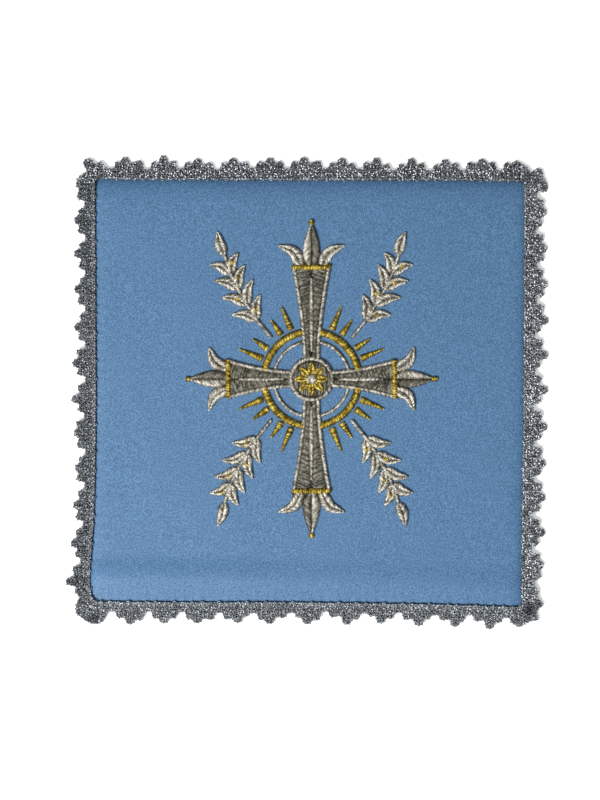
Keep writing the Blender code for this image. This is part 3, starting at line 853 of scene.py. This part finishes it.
def make_embroidery():
    silver, grey, gold = Threads(), Threads(), Threads()
    rope = dict(slant=0.7, pitch=0.52, radius=0.255)
    for degrees, r1, long in ((0.0, 29.0, 14.0), (90.0, 39.0, 15.5), (180.0, 29.0, 14.0), (270.0, 39.0, 15.5)):
        a = math.radians(degrees)
        on = lambda points: turned(points, a) + HEART
        r0 = 7.4
        r = np.linspace(r0, r1, 60)
        half = 2.3 + 3.9 * ((r - r0) / (r1 - r0)) ** 1.6
        # dark fill in two halves, stitched aslant from the arm's middle
        for side in (1, -1):
            rr = np.arange(r0 + 0.2, r1 - 0.2, PITCH)
            hh = np.interp(rr, r, half) - 0.35
            inner = np.stack([np.minimum(rr + 0.28 * hh, r1 - 0.3), np.full_like(rr, side * 0.05)], 1)
            outer = np.stack([rr - 0.12 * hh, side * hh], 1)
            satin(grey, on(inner), on(outer), 0.55)
        for side in (1, -1):
            column(silver, on(np.stack([r, side * half], 1)), 1.45, 0.95, **{**rope, "slant": 0.7 * side})
        rib = np.stack([np.linspace(r0 + 2.5, r1 - 4.0, 30), np.zeros(30)], 1)
        column(silver, on(rib), lambda s: 0.7 + 1.1 * math.sin(math.pi * s), 0.75, lift=0.25, **rope)
        # three pointed leaves out of a gold band
        ends = half[-1]
        leaf(silver, grey, on([[r1 + 0.2, 0.0]])[0], on([[r1 + long, 0.0]])[0], 6.2, bend=0.0, height=1.0)
        for side in (1, -1):
            foot = on([[r1 + 0.2, side * 3.4]])[0]
            tip = on([[r1 + 0.50 * long, side * (ends + 0.36 * long)]])[0]
            leaf(silver, silver, foot, tip, 4.4, bend=-0.16 * side, height=0.9)
        band = np.stack([np.full(20, r1 + 0.1), np.linspace(-ends - 0.3, ends + 0.3, 20)], 1)
        column(gold, on(band), 2.3, 1.05, slant=0.25)
        disc(gold, on([[r1 + long + 0.2, 0.0]])[0], 0.95, 0.7, angle=a)

    # gold ring between the arms, a fine silver one inside it, and rays
    for k in range(4):
        angle = np.radians(90.0 * k + np.linspace(11.0, 79.0, 60))
        ring = np.stack([np.cos(angle), np.sin(angle)], 1)
        column(gold, 16.6 * ring + HEART, 2.5, 0.95, slant=0.3)
        column(silver, 13.2 * ring[4:-4] + HEART, 1.1, 0.65, **rope)
        for turn, long in ((22.5, 8.5), (34.5, 6.0), (55.5, 6.0), (67.5, 8.5)):
            way = np.array([math.cos(math.radians(90.0 * k + turn)), math.sin(math.radians(90.0 * k + turn))])
            path = np.linspace(18.8 * way, (18.8 + long) * way, 20)
            column(gold, path + HEART, lambda s: 2.1 * (1 - s) ** 0.8 + 0.35, 0.7)

    # the heart: eight petals on a dark ground, round a silver boss
    disc(grey, HEART, 6.6, 0.32)
    for k in range(8):
        a = math.radians(45.0 * k)
        way = np.array([math.cos(a), math.sin(a)])
        leaf(gold, gold, 1.6 * way + HEART, 6.0 * way + HEART, 3.0, bend=0.0, height=0.95)
    disc(silver, HEART, 1.9, 1.2)
    angle = np.linspace(0, 2 * math.pi, 90)
    column(silver, 7.2 * np.stack([np.cos(angle), np.sin(angle)], 1) + HEART, 1.5, 1.0, **rope)

    # leaf sprays between the arms, with a few gold berries
    for sx in (1, -1):
        for sy in (1, -1):
            flip = np.array([sx, sy])
            stem = smooth_curve(np.array([(14.2, 14.6), (19.6, 21.4), (24.6, 29.6), (28.6, 37.6), (30.4, 43.4)]) * flip + HEART)
            column(silver, stem, 1.15, 0.7, **rope)
            t, n = normals(stem)
            last = len(stem) - 1
            for share, long in ((0.24, 8.6), (0.43, 9.0), (0.62, 8.6), (0.80, 7.6)):
                i = int(share * last)
                for side in (1, -1):
                    way = t[i] * math.cos(0.74) + n[i] * side * math.sin(0.74)
                    foot = stem[i] + n[i] * side * 0.4
                    leaf(silver, silver, foot, foot + way * long, 3.9, bend=-0.12 * side, height=0.85)
                i = int((share + 0.10) * last)
                berry = 1 if round(share * 100) % 2 else -1
                disc(gold, stem[i] + n[i] * berry * 1.9, 0.95, 0.8)
            leaf(silver, silver, stem[-1], stem[-1] + t[-1] * 8.6, 4.0, bend=0.05, height=0.9)
    return [silver.make("embroidery_silver"), grey.make("embroidery_grey"), gold.make("embroidery_gold")]


# ---------------------------------------------------------------- materials
class Nodes:
    """Short hand for building a node tree."""

    def __init__(self, name):
        self.material = bpy.data.materials.new(name)
        self.material.use_nodes = True
        self.tree = self.material.node_tree
        self.shader = self.tree.nodes["Principled BSDF"]

    def new(self, kind, **settings):
        node = self.tree.nodes.new(kind)
        for key, value in settings.items():
            setattr(node, key, value)
        return node

    def link(self, a, b):
        self.tree.links.new(a, b)
        return b

    def math(self, operation, a, b=0.0, c=0.0):
        node = self.new("ShaderNodeMath", operation=operation)
        for k, value in enumerate((a, b, c)):
            if isinstance(value, bpy.types.NodeSocket):
                self.link(value, node.inputs[k])
            else:
                node.inputs[k].default_value = value
        return node.outputs[0]

    def ramp(self, factor, *stops):
        node = self.new("ShaderNodeValToRGB")
        element = node.color_ramp.elements
        while len(element) < len(stops):
            element.new(0.5)
        for e, (position, colour) in zip(element, stops):
            e.position = position
            e.color = (*colour, 1.0)
        self.link(factor, node.inputs["Fac"])
        return node.outputs["Color"]

    def noise(self, scale, detail=2.0, roughness=0.5, vector=None):
        node = self.new("ShaderNodeTexNoise")
        node.inputs["Scale"].default_value = scale
        node.inputs["Detail"].default_value = detail
        node.inputs["Roughness"].default_value = roughness
        self.link(vector if vector is not None else self.place(), node.inputs["Vector"])
        return node.outputs["Fac"]

    def place(self):
        if not hasattr(self, "_place"):
            self._place = self.new("ShaderNodeTexCoord").outputs["Object"]
        return self._place

    def multiply(self, colour, factor):
        """A colour made lighter or darker by a factor socket."""
        node = self.new("ShaderNodeVectorMath", operation="SCALE")
        self.link(colour, node.inputs[0])
        self.link(factor, node.inputs["Scale"])
        return node.outputs[0]


def cloth_material():
    n = Nodes("blue_cloth_weave")
    # crepe grain: fine lumps about half a millimetre wide, a little drawn out along the slant, over a plain weave
    slanted = n.new("ShaderNodeMapping")
    slanted.inputs["Rotation"].default_value = (0.0, 0.0, math.radians(14))
    slanted.inputs["Scale"].default_value = (1.0, 0.80, 1.0)
    n.link(n.place(), slanted.inputs["Vector"])
    grain = n.noise(2700.0, 0.0, 0.5, slanted.outputs[0])
    fine = n.noise(3900.0, 0.0, 0.5)
    blotch = n.noise(30.0, 1.0, 0.5)
    split = n.new("ShaderNodeSeparateXYZ")
    n.link(n.place(), split.inputs[0])
    turn = 2 * math.pi / 0.00042
    wx = n.math("SINE", n.math("MULTIPLY", split.outputs[0], turn))
    wy = n.math("SINE", n.math("MULTIPLY", split.outputs[1], turn))
    weave = n.math("MULTIPLY", wx, wy)
    mixed = n.math("ADD", n.math("MULTIPLY", grain, 0.7), n.math("MULTIPLY", fine, 0.3))
    height = n.math("ADD", mixed, n.math("MULTIPLY", weave, 0.08))
    bump = n.new("ShaderNodeBump")
    bump.inputs["Strength"].default_value = 0.5
    bump.inputs["Distance"].default_value = 0.00016
    n.link(height, bump.inputs["Height"])
    n.link(bump.outputs[0], n.shader.inputs["Normal"])
    colour = n.ramp(
        mixed,
        (0.34, (0.038, 0.101, 0.200)),
        (0.50, (0.061, 0.146, 0.279)),
        (0.66, (0.098, 0.210, 0.384)),
    )
    shade = n.math("ADD", n.math("MULTIPLY", blotch, 0.05), 0.975)
    n.link(n.multiply(colour, shade), n.shader.inputs["Base Color"])
    n.shader.inputs["Roughness"].default_value = 0.56
    n.shader.inputs["Sheen Weight"].default_value = 0.12
    n.shader.inputs["Sheen Roughness"].default_value = 0.45
    n.shader.inputs["Sheen Tint"].default_value = (0.75, 0.86, 1.0, 1.0)
    n.shader.inputs["Specular IOR Level"].default_value = 0.32
    return n.material


def thread_material(name, dark, mid, light, metallic, rough, wrap=0.24):
    """Metal wound round a core: a helix of fine turns, with painted shade in the grooves, uneven along the thread."""
    n = Nodes(name)
    uv = n.new("ShaderNodeUVMap", uv_map="thread")
    split = n.new("ShaderNodeSeparateXYZ")
    n.link(uv.outputs[0], split.inputs[0])
    turns = n.math("ADD", n.math("DIVIDE", split.outputs[0], wrap), split.outputs[1])
    helix = n.math("SINE", n.math("MULTIPLY", turns, 2 * math.pi))
    groove = n.math("ADD", n.math("MULTIPLY", helix, 0.5), 0.5)
    grain = n.noise(900.0, 2.0, 0.6)
    patch = n.noise(160.0, 2.0, 0.5)
    tone = n.new("ShaderNodeAttribute", attribute_name="tone")
    # painted shade in the helix's grooves
    mixed = n.math("ADD", n.math("MULTIPLY", grain, 0.30), n.math("MULTIPLY", groove, 0.12))
    mixed = n.math("ADD", mixed, n.math("MULTIPLY", tone.outputs["Fac"], 0.48))
    mixed = n.math("ADD", mixed, n.math("MULTIPLY", patch, 0.10))
    colour = n.ramp(mixed, (0.25, dark), (0.55, mid), (0.85, light))
    n.link(colour, n.shader.inputs["Base Color"])
    n.link(n.math("ADD", n.math("MULTIPLY", grain, 0.25), rough), n.shader.inputs["Roughness"])
    n.shader.inputs["Metallic"].default_value = metallic
    bump = n.new("ShaderNodeBump")
    bump.inputs["Strength"].default_value = 0.5
    bump.inputs["Distance"].default_value = 0.00005
    n.link(n.math("ADD", groove, grain), bump.inputs["Height"])
    n.link(bump.outputs[0], n.shader.inputs["Normal"])
    return n.material


def floor_material():
    n = Nodes("pale_floor")
    fine = n.noise(60.0, 2.0, 0.5)
    n.link(n.ramp(fine, (0.3, (0.80, 0.80, 0.795)), (0.7, (0.82, 0.82, 0.815))), n.shader.inputs["Base Color"])
    n.shader.inputs["Roughness"].default_value = 0.9
    # a softly lit table: shadows on it stay light
    n.shader.inputs["Emission Color"].default_value = (1.0, 1.0, 1.0, 1.0)
    n.shader.inputs["Emission Strength"].default_value = 0.42
    return n.material


# ---------------------------------------------------------------- the object
cloth = make_cloth()
lace = make_lace()
embroidery = make_embroidery()

cloth.data.materials.append(cloth_material())
silver_lace = thread_material(
    "silver_lace_thread", (0.047, 0.053, 0.061), (0.315, 0.34, 0.37), (0.83, 0.87, 0.92), 0.80, 0.28
)
for piece in lace:
    piece.data.materials.append(silver_lace)
finishes = (
    thread_material("silver_thread", (0.12, 0.11, 0.085), (0.45, 0.425, 0.365), (0.90, 0.885, 0.82), 0.66, 0.30),
    thread_material("grey_thread", (0.030, 0.029, 0.022), (0.115, 0.11, 0.088), (0.42, 0.40, 0.335), 0.62, 0.34),
    thread_material("gold_thread", (0.085, 0.058, 0.005), (0.38, 0.265, 0.024), (0.92, 0.77, 0.20), 0.70, 0.27),
)
for piece, finish in zip(embroidery, finishes):
    piece.data.materials.append(finish)

for piece in (cloth, *lace, *embroidery):
    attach(piece, "root")
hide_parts("panel")
for piece in lace:
    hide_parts("lace_edging")

# ---------------------------------------------------------------- floor, light and camera
bpy.ops.mesh.primitive_plane_add(size=6.0, location=(0, 0, -0.0001))
floor = bpy.context.object
floor.name = "floor"
floor.data.materials.append(floor_material())


def area(name, place, size, power, aim=(0.0, 0.0, 0.0), colour=(1, 1, 1)):
    data = bpy.data.lights.new(name, "AREA")
    data.shape = "DISK"
    data.size = size
    data.energy = power
    data.color = colour
    light = bpy.data.objects.new(name, data)
    bpy.context.scene.collection.objects.link(light)
    light.location = place
    from mathutils import Vector

    light.rotation_mode = "QUATERNION"
    light.rotation_quaternion = (Vector(aim) - Vector(place)).to_track_quat("-Z", "Y")
    return light


R, HIGH = 0.95, math.radians(52)
flat = R * math.cos(HIGH) / math.sqrt(2)
area("key", (-flat, -flat, R * math.sin(HIGH)), 0.40, 13.7, colour=(1.0, 0.98, 0.95))
area("fill", (0.2, 0.3, 1.6), 1.2, 2.2)

world = bpy.data.worlds.new("studio")
bpy.context.scene.world = world
world.use_nodes = True
world.node_tree.nodes["Background"].inputs["Color"].default_value = (0.93, 0.97, 1.0, 1.0)
world.node_tree.nodes["Background"].inputs["Strength"].default_value = 0.20

camera_data = bpy.data.cameras.new("camera")
camera = bpy.data.objects.new("camera", camera_data)
bpy.context.scene.collection.objects.link(camera)
camera_data.sensor_width = 36.0
AWAY = 1.0
camera_data.lens = 36.0 * AWAY / 0.280
camera.location = ((SHIFT[0] - 3.455) * MM, (SHIFT[1] - 3.301) * MM, AWAY + 0.003)
camera.rotation_euler = (0.0, 0.0, 0.0)
camera_data.clip_start, camera_data.clip_end = 0.05, 20.0
bpy.context.scene.camera = camera
bpy.context.scene.view_settings.view_transform = "Standard"
bpy.context.scene.view_settings.look = "None"

count = {o.name: sum(len(p.vertices) - 2 for p in o.data.polygons) for o in (cloth, *lace, *embroidery)}
print("triangles", count, sum(count.values()))
